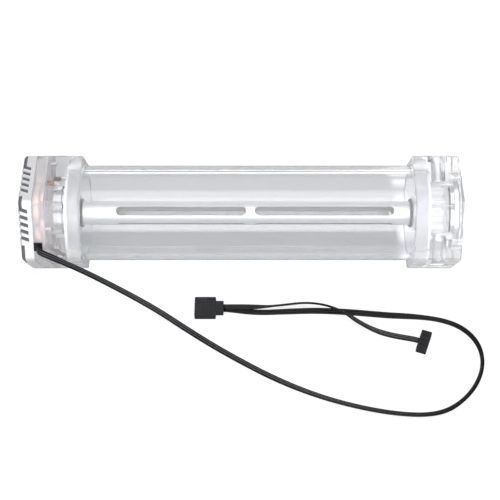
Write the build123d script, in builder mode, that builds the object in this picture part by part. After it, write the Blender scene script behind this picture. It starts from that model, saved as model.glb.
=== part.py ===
from build123d import *
from math import cos, radians, sin, sqrt, tan
import os

# Water cooling reservoir: a clear tube between two clear hexagonal end blocks, lying on one flat.
# X runs along the tube with the lamp end at -X, Z is up, and the flats rest on Z = 0.
# All sizes are in millimetres and all angles in degrees.
os.makedirs("parts", exist_ok=True)

# Tube and end blocks
tube_od = 60.0
tube_wall = 4.0
clear_length = 205.1
hex_flats = 66.4
hex_corner = 3.5
edge_chamfer = 0.6
lamp_block_depth = 21.3
port_block_depth = 29.0
socket_depth = 8.0
socket_gap = 0.1
boss_d = 22.0
lamp_boss_height = 5.0
port_boss_height = 6.8
face_seal_width = 2.2
face_seal_height = 1.8
face_seal_bite = 0.2
groove_gap = 0.1
tube_end_play = 0.02

# Slotted tube on the axis, which also ties the two blocks together
inner_od = 15.0
inner_wall = 1.5
inner_fit = 0.03
inner_tail = 5.4
slot_width = 5.6
slot_first = 19.7
slot_lengths = (81.9, 87.7)
slot_land = 5.3
slot_rows = 4
slot_row_angle = 60.0
inner_seal_section = 1.8
nut_od = 18.6
nut_height = 5.0
nut_pocket_d = 19.0
lamp_web = 5.0
nut_key_width = 3.0
nut_key_depth = 1.6
nut_key_land = 0.4

# Port end: side ports, chamber and screwed fill plug
port_bore_d = 12.3
port_bore_depth = 6.2
port_hole_d = 8.8
port_mouth_chamfer = 0.5
port_elevations = (150.0, -30.0)
port_shift = 0.45
chamber_d = 26.0
port_web = 2.9
recess_d = 39.0
recess_depth = 4.4
plug_side_gap = 0.1
plug_seat_gap = 0.45
plug_sunk = 0.6
plug_spigot_length = 3.05
plug_coin_slot = (24.0, 3.2, 1.9)
plug_seal_d = 29.5
plug_seal_section = 1.8
plug_seal_lift = 0.3
plug_seal_play = 0.05
plug_chamfer = 0.8

# Lamp end: light plate, vented cover, lamp board and screws
plate_depth = 7.2
cover_depth = 8.2
cover_front = 2.6
cover_wall = 3.2
cover_chamfer = 1.2
vent_width = 2.5
vent_length = 5.6
vent_slant = 1.1
vent_cut = 3.9
vents_per_flat = 4
bar_width = 2.6
bar_cut = 2.2
short_bar_reach = 5.2
long_bar_reach = 10.2
post_circle_d = 51.0
post_d = 7.0
screw_d = 2.4
screw_head_d = 4.5
screw_head_height = 2.2
screw_length = 16.0
screw_gap = 0.1
screw_sunk = 0.3
screw_key_r = 1.0
screw_key_depth = 1.3
screw_hole_depth = 7.8
screw_elevations = (90.0, 210.0, 330.0)
insert_d = 3.6
insert_length = 4.3
insert_play = 0.02
pin_d = 3.0
pin_length = 7.0
pin_bite = 3.5
pin_elevations = (30.0, 150.0, 270.0)
board_margin = 0.8
board_land = 4.1
board_thick = 1.2
board_inset = 0.2
led_circle_d = 33.2
led_size = 5.0
led_height = 1.6
led_count = 6
light_pocket_gap = 0.95
light_pocket_depth = 2.4
board_screw_d = 1.9
board_screw_head_d = 3.6
board_screw_head_height = 1.2
board_screw_bite = 3.0
board_screw_play = 0.2
board_post_d = 5.0

# Lead: three bonded wires, 3.9 wide, leaving through a grommet in the light plate
wire_d = 1.3
wire_count = 3
lead_offset = -9.9
lead_elevation = 30.0
grommet_size = (5.2, 5.4, 3.0)
grommet_flange = 0.6
grommet_chamfer = 0.2
tail_d = 1.2
tail_depth = 0.65
tail_reach = 0.3
channel_depth = 1.5
channel_play = 0.5
first_run = 6.0
lead_side = 2.0
arc_share = 0.45
floor_z = 2.05

# Connector on the lead, small plug on the branch
shell_size = (13.4, 14.1, 4.2)
neck_size = (4.8, 8.4, 4.0)
neck_face = (-11.3, -51.85)
shell_edge = 0.5
contact_pitch = 2.54
contact_slots = (-1.5, -0.5, 1.5)
contact_size = (8.0, 1.5, 1.2)
contact_hole = 1.0
rib_size = (0.7, 0.5)
rib_count = 4
rib_pitch = 1.5
rib_place = 3.4
rib_end = 1.5
contact_back = 0.4
contact_play = 0.2
small_size = (6.4, 14.8, 3.9)
small_turn = -20.0
small_run = 8.6
small_place = (112.4, -77.4)
small_rib = (0.9, 0.4)
small_contact = (4.0, 1.1, 1.1)
small_contact_pitch = 3.6
small_edge = 0.4
small_rib_end = 0.8
small_sleeve = (0.1, 0.5, 0.5)

# Facets that stand in for round sections on the thin seals and leads
thin_sides = 8
seal_sides = 6

# Smallest corner on the hexagon, and the clearance of pieces lying on the floor
least_corner = 0.5
floor_gap = 0.1

# How far a cut runs past the face that it opens
cut_over = 1.0

# The hexagon's flats, by elevation measured from the front
flat_count = 6
flat_step = 360 / flat_count
first_flat = 30.0

# Stations along X, worked out from the depths above
overall = cover_depth + plate_depth + lamp_block_depth + clear_length + port_block_depth
x_cover = -overall / 2
x_plate = x_cover + cover_depth
x_lamp = x_plate + plate_depth
x_lamp_inner = x_lamp + lamp_block_depth
x_port_inner = x_lamp_inner + clear_length
x_end = x_port_inner + port_block_depth
lamp_socket_floor = x_lamp_inner - socket_depth
port_socket_floor = x_port_inner + socket_depth
recess_floor = x_end - recess_depth
chamber_floor = port_socket_floor + port_web
nut_floor = lamp_socket_floor - lamp_web
x_port_axis = (recess_floor + chamber_floor) / 2 - port_shift
hex_r = hex_flats / 2
hex_side = hex_flats / sqrt(3)
axis_height = hex_r
lead_width = wire_d * wire_count

# Lamp ring: the pocket clears the chips' corners, and the board and wire ends follow the pocket
led_outer_r = sqrt((led_circle_d / 2 + led_size / 2) ** 2 + (led_size / 2) ** 2)
pocket_outer_r = led_outer_r + light_pocket_gap
pocket_inner_r = led_circle_d / 2 - led_size / 2 - light_pocket_gap
board_od = 2 * (pocket_outer_r + board_margin)
board_id = led_circle_d - led_size - 2 * board_land
tail_inner = sqrt((pocket_outer_r + tail_reach) ** 2 - lead_offset**2)


# Plane across the axis at station x: local x is +Y, local y is +Z
def section(x):
    return Plane(origin=(x, 0, axis_height), x_dir=(0, 1, 0), z_dir=(1, 0, 0))


# Plane on a hexagon flat: local x is +X, local y runs up along the flat
def flat_plane(elevation, x=0.0, radius=hex_r):
    n = (0, -cos(radians(elevation)), sin(radians(elevation)))
    return Plane(origin=(x, radius * n[1], axis_height + radius * n[2]), x_dir=(1, 0, 0), z_dir=n)


# Places on a circle round the axis, by elevation measured from the front
def ring(diameter, elevations):
    r = diameter / 2
    return [(-r * cos(radians(e)), r * sin(radians(e))) for e in elevations]


# Hexagon with rounded corners, drawn in the sketch that is open
def hexagon(inset=0.0):
    RegularPolygon(radius=hex_r - inset, side_count=flat_count, major_radius=False)
    fillet(vertices(), max(hex_corner - inset, least_corner))


# Closed seal ring across the axis at station x: round section, drawn with few facets
def seal_ring(x, centre_d, thick):
    with BuildPart() as ring_part:
        with BuildSketch(Plane(origin=(x, 0, axis_height), x_dir=(1, 0, 0), z_dir=(0, -1, 0))):
            with Locations((0, centre_d / 2)):
                RegularPolygon(thick / 2, seal_sides, rotation=180 / seal_sides)
        revolve(axis=Axis((0, 0, axis_height), (1, 0, 0)))
    return ring_part


# Flat gasket lying in the groove of a socket floor
def face_gasket(floor, inward):
    groove_r = tube_od / 2 - tube_wall / 2
    with BuildPart() as gasket:
        with BuildSketch(section(floor - inward * face_seal_bite)):
            Circle(groove_r + face_seal_width / 2)
            Circle(groove_r - face_seal_width / 2, mode=Mode.SUBTRACT)
        extrude(amount=inward * face_seal_height)
    return gasket


# Writes one finished piece under its own name
def write(builder, name):
    builder.part.label = name
    export_step(builder.part, "parts/" + name + ".step")


# Clear outer tube, its ends held off the socket floors by the face seals
seal_stand = face_seal_bite + tube_end_play
with BuildPart() as reservoir_tube:
    with BuildSketch(section(lamp_socket_floor + seal_stand)):
        Circle(tube_od / 2)
        Circle(tube_od / 2 - tube_wall, mode=Mode.SUBTRACT)
    extrude(amount=port_socket_floor - lamp_socket_floor - 2 * seal_stand)
write(reservoir_tube, "reservoir_tube")


# Room for the tube's end, its face seal groove and nothing else: the central boss stays standing
def tube_socket(mouth, inward, boss_height):
    floor = mouth + inward * socket_depth
    groove_d = tube_od - tube_wall
    with BuildPart() as room:
        with BuildSketch(section(mouth)):
            Circle(tube_od / 2 + socket_gap)
        extrude(amount=inward * socket_depth)
        with BuildSketch(section(floor)):
            Circle(boss_d / 2)
        extrude(amount=-inward * boss_height, mode=Mode.SUBTRACT)
        with BuildSketch(section(floor)):
            Circle(groove_d / 2 + face_seal_width / 2 + groove_gap)
            Circle(groove_d / 2 - face_seal_width / 2 - groove_gap, mode=Mode.SUBTRACT)
        extrude(amount=inward * (face_seal_height - face_seal_bite))
    return room.part


# Lamp end block: socket on the tank side, nut pocket and insert holes on the plate side
with BuildPart() as lamp_end_block:
    with BuildSketch(section(x_lamp)):
        hexagon()
    extrude(amount=lamp_block_depth)
    chamfer(lamp_end_block.faces().sort_by(Axis.X)[-1].edges(), edge_chamfer)
    add(tube_socket(x_lamp_inner, -1, lamp_boss_height), mode=Mode.SUBTRACT)
    with BuildSketch(section(x_lamp)):
        Circle(nut_pocket_d / 2)
    extrude(amount=nut_floor - x_lamp, mode=Mode.SUBTRACT)
    with BuildSketch(section(x_lamp)):
        Circle(inner_od / 2 + inner_fit)
    extrude(amount=lamp_block_depth, mode=Mode.SUBTRACT)
    with BuildSketch(section(x_lamp)):
        with Locations(*ring(post_circle_d, screw_elevations)):
            Circle(insert_d / 2)
    extrude(amount=insert_length, mode=Mode.SUBTRACT)
    with BuildSketch(section(x_lamp)):
        with Locations(*ring(post_circle_d, screw_elevations)):
            Circle(screw_d / 2 + screw_gap)
    extrude(amount=screw_hole_depth, mode=Mode.SUBTRACT)
    with BuildSketch(section(x_lamp)):
        with Locations(*ring(post_circle_d, pin_elevations)):
            Circle(pin_d / 2)
    extrude(amount=pin_bite, mode=Mode.SUBTRACT)
write(lamp_end_block, "lamp_end_block")

# Port end block: socket, chamber and plug recess on the axis, and a port through two opposite flats
with BuildPart() as port_end_block:
    with BuildSketch(section(x_port_inner)):
        hexagon()
    extrude(amount=port_block_depth)
    chamfer(port_end_block.faces().sort_by(Axis.X)[0].edges(), edge_chamfer)
    chamfer(port_end_block.faces().sort_by(Axis.X)[-1].edges(), edge_chamfer)
    add(tube_socket(x_port_inner, 1, port_boss_height), mode=Mode.SUBTRACT)
    with BuildSketch(section(port_socket_floor - port_boss_height)):
        Circle(inner_od / 2 + inner_fit)
    extrude(amount=chamber_floor - port_socket_floor + port_boss_height, mode=Mode.SUBTRACT)
    with BuildSketch(section(chamber_floor)):
        Circle(chamber_d / 2)
    extrude(amount=recess_floor - chamber_floor, mode=Mode.SUBTRACT)
    with BuildSketch(section(recess_floor)):
        Circle(recess_d / 2)
    extrude(amount=recess_depth, mode=Mode.SUBTRACT)
    for elevation in port_elevations:
        with BuildSketch(flat_plane(elevation, x_port_axis)):
            Circle(port_bore_d / 2)
        extrude(amount=-port_bore_depth, mode=Mode.SUBTRACT)
        with BuildSketch(flat_plane(elevation, x_port_axis)):
            Circle(port_bore_d / 2 + port_mouth_chamfer)
        extrude(amount=-port_mouth_chamfer, taper=45, mode=Mode.SUBTRACT)
        with BuildSketch(flat_plane(elevation, x_port_axis)):
            Circle(port_hole_d / 2)
        extrude(amount=-(hex_r - chamber_d / 2 + 2 * cut_over), mode=Mode.SUBTRACT)
write(port_end_block, "port_end_block")

# Slotted tube on the axis: two long slots in each row
inner_start = nut_floor - inner_tail
with BuildPart() as distribution_tube:
    with BuildSketch(section(inner_start)):
        Circle(inner_od / 2)
        Circle(inner_od / 2 - inner_wall, mode=Mode.SUBTRACT)
    extrude(amount=chamber_floor - inner_start)
    for row in range(slot_rows):
        row_angle = slot_row_angle + row * 360 / slot_rows
        slot_start = x_lamp_inner + slot_first
        for length in slot_lengths:
            with BuildSketch(flat_plane(row_angle, slot_start + length / 2, 0.0)):
                SlotOverall(length, slot_width)
            extrude(amount=inner_od, mode=Mode.SUBTRACT)
            slot_start = slot_start + length + slot_land
write(distribution_tube, "distribution_tube")

# Ring nut that pulls the slotted tube tight in its pocket
with BuildPart() as tie_nut:
    with BuildSketch(section(nut_floor)):
        Circle(nut_od / 2)
        Circle(inner_od / 2 + inner_fit, mode=Mode.SUBTRACT)
    extrude(amount=-nut_height)
    with BuildSketch(section(nut_floor - nut_height)):
        Rectangle(nut_key_width, nut_od + cut_over)
        Circle(inner_od / 2 + nut_key_land, mode=Mode.SUBTRACT)
    extrude(amount=nut_key_depth, mode=Mode.SUBTRACT)
write(tie_nut, "tie_nut")

# Face seals under the outer tube and gland seals round the slotted tube
gland_d = inner_od + inner_seal_section + 2 * inner_fit
write(face_gasket(lamp_socket_floor, -1), "lamp_face_seal")
write(face_gasket(port_socket_floor, 1), "port_face_seal")
lamp_gland_x = lamp_socket_floor + lamp_boss_height + inner_seal_section / 2 + inner_fit
port_gland_x = port_socket_floor - port_boss_height - inner_seal_section / 2 - inner_fit
write(seal_ring(lamp_gland_x, gland_d, inner_seal_section), "lamp_gland_seal")
write(seal_ring(port_gland_x, gland_d, inner_seal_section), "port_gland_seal")

# Fill plug: wide head in the recess, short spigot in the chamber, coin slot outside
head_under = recess_floor + plug_seat_gap
plug_groove_depth = plug_seal_lift + plug_seal_section + plug_seal_play - plug_seat_gap
with BuildPart() as fill_plug:
    with BuildSketch(section(head_under)):
        Circle(recess_d / 2 - plug_side_gap)
    extrude(amount=x_end - plug_sunk - head_under)
    chamfer(fill_plug.edges().group_by(Axis.X)[-1], plug_chamfer)
    with BuildSketch(section(head_under)):
        Circle(chamber_d / 2 - plug_side_gap)
    extrude(amount=-plug_spigot_length)
    with BuildSketch(section(head_under)):
        Circle(plug_seal_d / 2 + plug_seal_section / 2 + plug_seal_play)
        Circle(plug_seal_d / 2 - plug_seal_section / 2 - plug_seal_play, mode=Mode.SUBTRACT)
    extrude(amount=plug_groove_depth, mode=Mode.SUBTRACT)
    with BuildSketch(section(x_end - plug_sunk)):
        SlotOverall(plug_coin_slot[0], plug_coin_slot[1])
    extrude(amount=-plug_coin_slot[2], mode=Mode.SUBTRACT)
write(fill_plug, "fill_plug")
plug_seal_x = recess_floor + plug_seal_lift + plug_seal_section / 2
write(seal_ring(plug_seal_x, plug_seal_d, plug_seal_section), "fill_plug_seal")

# Clear light plate: pocket for the lamps, channel and notch for the lead, holes for screws and pins
lead_plane_x = x_plate + grommet_size[0] / 2
with BuildPart() as light_plate:
    with BuildSketch(section(x_plate)):
        hexagon()
    extrude(amount=plate_depth)
    with BuildSketch(section(x_plate)):
        Circle(pocket_outer_r)
        Circle(pocket_inner_r, mode=Mode.SUBTRACT)
    extrude(amount=light_pocket_depth, mode=Mode.SUBTRACT)
    with BuildSketch(section(x_plate)):
        with Locations(*ring(post_circle_d, screw_elevations)):
            Circle(screw_d / 2 + screw_gap)
    extrude(amount=plate_depth, mode=Mode.SUBTRACT)
    with BuildSketch(section(x_plate + plate_depth)):
        with Locations(*ring(post_circle_d, pin_elevations)):
            Circle(pin_d / 2)
    extrude(amount=-(pin_length - pin_bite), mode=Mode.SUBTRACT)
    with BuildSketch(flat_plane(lead_elevation, lead_plane_x)):
        with Locations((0, lead_offset)):
            Rectangle(grommet_size[0], grommet_size[1])
    extrude(amount=-grommet_size[2], mode=Mode.SUBTRACT)
    with BuildSketch(flat_plane(lead_elevation, x_plate + channel_depth / 2)):
        with Locations((0, lead_offset)):
            Rectangle(channel_depth, lead_width + channel_play)
    extrude(amount=-(hex_r - tail_inner + cut_over), mode=Mode.SUBTRACT)
write(light_plate, "light_plate")

# Vented metal cover: shallow hexagonal cup whose rim is cut by slanted vents and bars round the corners
bar_middle = (bar_width - cut_over) / 2
with BuildPart() as vented_cover:
    with BuildSketch(section(x_cover)):
        hexagon()
    extrude(amount=cover_depth)
    chamfer(vented_cover.faces().sort_by(Axis.X)[0].edges(), cover_chamfer)
    with BuildSketch(section(x_cover + cover_front)):
        hexagon(cover_wall)
    extrude(amount=cover_depth - cover_front, mode=Mode.SUBTRACT)
    with BuildSketch(section(x_cover + cover_front)):
        with Locations(*ring(post_circle_d, screw_elevations)):
            Circle(post_d / 2)
    extrude(amount=cover_depth - cover_front)
    with BuildSketch(section(x_cover + cover_front)):
        with Locations(*ring(led_circle_d, pin_elevations)):
            Circle(board_post_d / 2)
    extrude(amount=cover_depth - cover_front - board_thick - board_inset)
    with BuildSketch(section(x_cover)):
        with Locations(*ring(post_circle_d, screw_elevations)):
            Circle(screw_d / 2 + screw_gap)
    extrude(amount=cover_depth, mode=Mode.SUBTRACT)
    with BuildSketch(section(x_cover)):
        with Locations(*ring(post_circle_d, screw_elevations)):
            Circle(screw_head_d / 2 + screw_gap)
    extrude(amount=screw_head_height + screw_sunk, mode=Mode.SUBTRACT)
    with BuildSketch(section(x_plate - board_inset - board_thick)):
        with Locations(*ring(led_circle_d, pin_elevations)):
            Circle(board_screw_d / 2)
    extrude(amount=-board_screw_bite, mode=Mode.SUBTRACT)
    for flat in range(flat_count):
        upper_reach = short_bar_reach if flat % 2 == 0 else long_bar_reach
        lower_reach = long_bar_reach if flat % 2 == 0 else short_bar_reach
        upper_end = hex_side / 2 - upper_reach
        pitch = (hex_side - upper_reach - lower_reach) / (vents_per_flat + 1)
        with BuildSketch(flat_plane(first_flat + flat_step * flat, x_cover)):
            for vent in range(vents_per_flat + 1):
                middle = upper_end - vent * pitch
                with BuildLine():
                    Polyline(
                        (-cut_over / 2, middle + vent_slant + vent_width / 2),
                        (vent_length, middle - vent_slant + vent_width / 2),
                        (vent_length, middle - vent_slant - vent_width / 2),
                        (-cut_over / 2, middle + vent_slant - vent_width / 2),
                        close=True,
                    )
                make_face()
        extrude(amount=-vent_cut, mode=Mode.SUBTRACT)
        with BuildSketch(flat_plane(first_flat + flat_step * flat, x_cover)):
            with Locations((bar_middle, upper_end + (upper_reach + cut_over) / 2)):
                Rectangle(bar_width + cut_over, upper_reach + cut_over)
            with Locations((bar_middle, -hex_side / 2 + (lower_reach - cut_over) / 2)):
                Rectangle(bar_width + cut_over, lower_reach + cut_over)
        extrude(amount=-bar_cut, mode=Mode.SUBTRACT)
write(vented_cover, "vented_cover")

# Ring board on the cover's posts, with its lamps facing the plate
board_face = x_plate - board_inset
with BuildPart() as lamp_board:
    with BuildSketch(section(board_face)):
        Circle(board_od / 2)
        Circle(board_id / 2, mode=Mode.SUBTRACT)
        with Locations(*ring(led_circle_d, pin_elevations)):
            Circle(board_screw_d / 2 + screw_gap, mode=Mode.SUBTRACT)
    extrude(amount=-board_thick)
write(lamp_board, "lamp_board")

led_elevations = [360 / led_count * i for i in range(led_count)]
with BuildPart() as lamp_chips:
    with BuildSketch(section(board_face)):
        with Locations(*ring(led_circle_d, led_elevations)):
            Rectangle(led_size, led_size)
    extrude(amount=led_height)
write(lamp_chips, "lamp_chips")

with BuildPart() as board_screws:
    with BuildSketch(section(board_face)):
        with Locations(*ring(led_circle_d, pin_elevations)):
            Circle(board_screw_head_d / 2)
    extrude(amount=board_screw_head_height)
    with BuildSketch(section(board_face)):
        with Locations(*ring(led_circle_d, pin_elevations)):
            Circle(board_screw_d / 2)
    extrude(amount=-(board_thick + board_screw_bite - board_screw_play))
write(board_screws, "board_screws")

# Cover screws with hexagon sockets, brass inserts in the block, and plain locating pins
head_seat = x_cover + screw_head_height + screw_sunk
with BuildPart() as cover_screws:
    with BuildSketch(section(head_seat)):
        with Locations(*ring(post_circle_d, screw_elevations)):
            Circle(screw_head_d / 2)
    extrude(amount=-screw_head_height)
    with BuildSketch(section(head_seat)):
        with Locations(*ring(post_circle_d, screw_elevations)):
            Circle(screw_d / 2)
    extrude(amount=screw_length)
    with BuildSketch(section(head_seat - screw_head_height)):
        with Locations(*ring(post_circle_d, screw_elevations)):
            RegularPolygon(radius=screw_key_r, side_count=6)
    extrude(amount=screw_key_depth, mode=Mode.SUBTRACT)
write(cover_screws, "cover_screws")

with BuildPart() as thread_inserts:
    with BuildSketch(section(x_lamp)):
        with Locations(*ring(post_circle_d, screw_elevations)):
            Circle(insert_d / 2)
            Circle(screw_d / 2 + insert_play, mode=Mode.SUBTRACT)
    extrude(amount=insert_length)
write(thread_inserts, "thread_inserts")

with BuildPart() as locating_pins:
    with BuildSketch(section(x_lamp + pin_bite)):
        with Locations(*ring(post_circle_d, pin_elevations)):
            Circle(pin_d / 2)
    extrude(amount=-pin_length)
write(locating_pins, "locating_pins")

# Grommet in the plate's notch, and the wire ends that run from it over the board's edge
with BuildPart() as lead_grommet:
    with BuildSketch(flat_plane(lead_elevation, lead_plane_x, hex_r - grommet_size[2])):
        with Locations((0, lead_offset)):
            Rectangle(grommet_size[0], grommet_size[1])
    extrude(amount=grommet_size[2] + grommet_flange)
    chamfer(lead_grommet.faces().sort_by(Axis.Y)[0].edges().filter_by(Axis.X), grommet_chamfer)
write(lead_grommet, "lead_grommet")

with BuildPart() as wire_ends:
    with BuildSketch(flat_plane(lead_elevation, x_plate + tail_depth, tail_inner)):
        for wire in range(wire_count):
            with Locations((0, lead_offset + (wire - (wire_count - 1) / 2) * wire_d)):
                Circle(tail_d / 2)
    extrude(amount=hex_r - grommet_size[2] - tail_inner)
write(wire_ends, "wire_ends")

# Route of the lead: out of the grommet, over the block's corner, down to the floor, round a wide
# loop at the right and back to the connector
n_lead = flat_plane(lead_elevation).z_dir
t_lead = flat_plane(lead_elevation).y_dir
lead_start = (
    Vector(lead_plane_x, 0, axis_height)
    + n_lead * (hex_r + grommet_flange)
    + t_lead * lead_offset
)
main_points = [
    lead_start,
    lead_start + n_lead * first_run,
    (-116.2, -41.3, 40.6),
    (-107.4, -42.2, 33.8),
    (-95.8, -43.4, 24.4),
    (-82.2, -46.3, 15.0),
    (-66.7, -51.8, 8.2),
    (-50.9, -59.0, 4.0),
    (-35.0, -68.2, floor_z),
    (-18.1, -79.5, floor_z),
    (-0.8, -90.4, floor_z),
    (17.4, -101.6, floor_z),
    (35.3, -110.8, floor_z),
    (54.2, -118.5, floor_z),
    (74.1, -124.3, floor_z),
    (93.0, -127.9, floor_z),
    (109.7, -129.2, floor_z),
    (122.3, -126.6, floor_z),
    (132.9, -119.6, floor_z),
    (141.2, -109.8, floor_z),
    (146.4, -98.2, floor_z),
    (147.4, -86.6, floor_z),
    (144.2, -76.2, floor_z),
    (136.6, -67.4, floor_z),
    (125.2, -61.9, floor_z),
    (110.3, -59.2, floor_z),
    (89.9, -56.9, floor_z),
    (68.5, -54.9, floor_z),
    (48.0, -54.4, floor_z),
    (29.1, -55.0, floor_z),
    (11.3, -55.3, floor_z),
    (-1.0, neck_face[1] - lead_side, floor_z),
    (neck_face[0], neck_face[1] - lead_side, floor_z),
]
branch_points = [
    (neck_face[0], neck_face[1] + lead_side, floor_z),
    (-1.0, neck_face[1] + lead_side, floor_z),
    (11.6, -49.2, floor_z),
    (26.0, -47.9, 2.3),
    (40.6, -48.6, 3.9),
    (53.5, -52.2, 6.3),
    (64.5, -58.0, 6.6),
    (73.6, -64.0, 4.3),
    (83.2, -68.4, 2.4),
    (92.6, -71.4, floor_z),
]


# Tube of straight runs and tangent arcs, each arc as large as its two runs allow
def lead_tube(points, name):
    places = [Vector(*p) if isinstance(p, tuple) else p for p in points]
    runs = [b - a for a, b in zip(places, places[1:])]
    radii = []
    for before, after in zip(runs, runs[1:]):
        turn = before.get_angle(after)
        radii.append(arc_share * min(before.length, after.length) / tan(radians(turn / 2)))
    with BuildPart() as tube_part:
        with BuildLine() as route:
            FilletPolyline(*places, radius=radii)
        with BuildSketch(Plane(origin=places[0], z_dir=runs[0])):
            RegularPolygon(radius=lead_width / 2, side_count=thin_sides)
        sweep()
    length = route.wire().length
    face = thin_sides * (lead_width / 2) ** 2 * sin(radians(360 / thin_sides)) / 2
    print(name, "length", round(length, 1), "radii", [round(r, 1) for r in radii])
    print(name, "volume ratio", round(tube_part.part.volume / (length * face), 4))
    return tube_part


main_lead = lead_tube(main_points, "main_lead")
write(main_lead, "main_lead")

# Small plug at the end of the branch, turned to meet it
small_mid = Vector(small_place[0], small_place[1], small_size[2] / 2 + floor_gap)
small_dir = Vector(cos(radians(small_turn)), sin(radians(small_turn)), 0)
small_plane = Plane(origin=small_mid, x_dir=small_dir, z_dir=(0, 0, 1))
small_mouth = small_mid + small_dir * (small_size[0] / 2)
small_contact_back = small_mouth - small_dir * small_contact[0]
small_back = small_mid - small_plane.x_dir * (small_size[0] / 2)
branch_points.append(small_back - small_plane.x_dir * small_run)
branch_points.append(small_back)
branch_lead = lead_tube(branch_points, "branch_lead")
write(branch_lead, "branch_lead")

with BuildPart() as small_plug:
    with BuildSketch(small_plane.offset(-small_size[2] / 2)):
        Rectangle(small_size[0], small_size[1])
    extrude(amount=small_size[2])
    chamfer(small_plug.edges().filter_by(Axis.Z), small_edge)
    with BuildSketch(small_plane.offset(small_size[2] / 2)):
        with GridLocations(0, small_contact_pitch, 1, 3):
            Rectangle(small_size[0] - 2 * small_rib_end, small_rib[0])
    extrude(amount=-small_rib[1], mode=Mode.SUBTRACT)
    with BuildSketch(Plane(origin=small_mouth, x_dir=small_plane.y_dir, z_dir=small_dir)):
        with GridLocations(small_contact_pitch, 0, 3, 1):
            Rectangle(small_contact[1], small_contact[2])
    extrude(amount=-small_contact[0], mode=Mode.SUBTRACT)
write(small_plug, "small_plug")

with BuildPart() as small_plug_contacts:
    with BuildSketch(Plane(origin=small_contact_back, x_dir=small_plane.y_dir, z_dir=small_dir)):
        with GridLocations(small_contact_pitch, 0, 3, 1):
            Rectangle(small_contact[1] - small_sleeve[0], small_contact[2] - small_sleeve[0])
            Rectangle(small_sleeve[1], small_sleeve[1], mode=Mode.SUBTRACT)
    extrude(amount=small_contact[0] - small_sleeve[2])
write(small_plug_contacts, "small_plug_contacts")

# Lamp connector: flat shell with grip ribs, neck round both leads, and three sleeves in its mouth
shell_right = neck_face[0] - neck_size[0]
shell_mid = (shell_right - shell_size[0] / 2, neck_face[1])
mouth_x = shell_right - shell_size[0]
with BuildPart() as connector_shell:
    with BuildSketch(Plane.XY.offset(floor_gap)):
        with Locations(shell_mid):
            Rectangle(shell_size[0], shell_size[1])
    extrude(amount=shell_size[2])
    chamfer(connector_shell.edges().filter_by(Axis.Z), shell_edge)
    with BuildSketch(Plane.XY.offset(floor_gap)):
        with Locations((neck_face[0] - neck_size[0] / 2, neck_face[1])):
            Rectangle(neck_size[0], neck_size[1])
    extrude(amount=neck_size[2])
    with BuildSketch(Plane.XY.offset(floor_gap + shell_size[2])):
        with Locations((shell_right - rib_place, neck_face[1])):
            with GridLocations(rib_pitch, 0, rib_count, 1):
                Rectangle(rib_size[0], shell_size[1] - 2 * rib_end)
    extrude(amount=-rib_size[1], mode=Mode.SUBTRACT)
    with BuildSketch(Plane(origin=(mouth_x, neck_face[1], floor_z), x_dir=(0, 1, 0), z_dir=(1, 0, 0))):
        for place in contact_slots:
            with Locations((place * contact_pitch, 0)):
                Rectangle(contact_size[1], contact_size[1])
    extrude(amount=contact_size[0], mode=Mode.SUBTRACT)
write(connector_shell, "connector_shell")

with BuildPart() as connector_contacts:
    with BuildSketch(Plane((mouth_x + contact_back, neck_face[1], floor_z), (0, 1, 0), (1, 0, 0))):
        for place in contact_slots:
            with Locations((place * contact_pitch, 0)):
                Rectangle(contact_size[2] + contact_play, contact_size[2] + contact_play)
                Rectangle(contact_hole, contact_hole, mode=Mode.SUBTRACT)
    extrude(amount=contact_size[0] - contact_back)
write(connector_contacts, "connector_contacts")
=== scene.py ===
import bpy
from math import atan, cos, degrees, pi, radians, sin, sqrt, tan
from mathutils import Matrix, Vector


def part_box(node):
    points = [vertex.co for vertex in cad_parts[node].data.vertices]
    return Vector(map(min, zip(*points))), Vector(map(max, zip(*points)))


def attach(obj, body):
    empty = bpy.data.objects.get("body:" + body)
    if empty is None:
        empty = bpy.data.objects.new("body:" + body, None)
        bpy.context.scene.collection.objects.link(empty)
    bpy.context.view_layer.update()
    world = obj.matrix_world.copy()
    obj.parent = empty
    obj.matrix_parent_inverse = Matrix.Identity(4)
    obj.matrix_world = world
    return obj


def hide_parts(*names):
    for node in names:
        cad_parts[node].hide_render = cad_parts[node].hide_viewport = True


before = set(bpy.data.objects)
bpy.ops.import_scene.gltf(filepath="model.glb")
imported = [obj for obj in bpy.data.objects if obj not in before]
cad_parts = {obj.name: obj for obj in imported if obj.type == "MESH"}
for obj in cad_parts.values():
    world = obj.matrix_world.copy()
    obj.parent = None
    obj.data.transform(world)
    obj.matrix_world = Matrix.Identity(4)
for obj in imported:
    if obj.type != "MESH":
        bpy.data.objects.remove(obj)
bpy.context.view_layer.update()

scene = bpy.context.scene
mm = 0.001


def middleOf(node):
    # middle of a node's box, in millimetres
    low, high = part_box(node)
    return [round((a + b) / 2 / mm, 2) for a, b in zip(low, high)]


axisHeight = middleOf("reservoir_tube")[2]  # the tube's axis above the floor, in millimetres


def hexColour(code, shade=1.0):
    # sRGB hex to the linear values that shaders work in, times shade for a darker tone of it
    parts = [int(code[i:i + 2], 16) / 255 for i in (1, 3, 5)]
    linear = [c / 12.92 if c <= 0.04045 else ((c + 0.055) / 1.055) ** 2.4 for c in parts]
    return (*(c * shade for c in linear), 1.0)


def perMetre(size):
    # scale of a pattern that repeats about every size millimetres
    return 1 / (size * mm)


def addNode(tree, kind, settings=None, links=None):
    # sockets go by name, or by number where a node repeats a name: in a Mix node 2 and 3 are its two
    # numbers, and 6 and 7 its two colours
    node = tree.nodes.new(kind)
    for key, value in (settings or {}).items():
        if isinstance(key, int) or key in node.inputs:
            node.inputs[key].default_value = value
        else:
            setattr(node, key, value)
    for socket, source in (links or {}).items():
        tree.links.new(source, node.inputs[socket])
    return node


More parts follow.
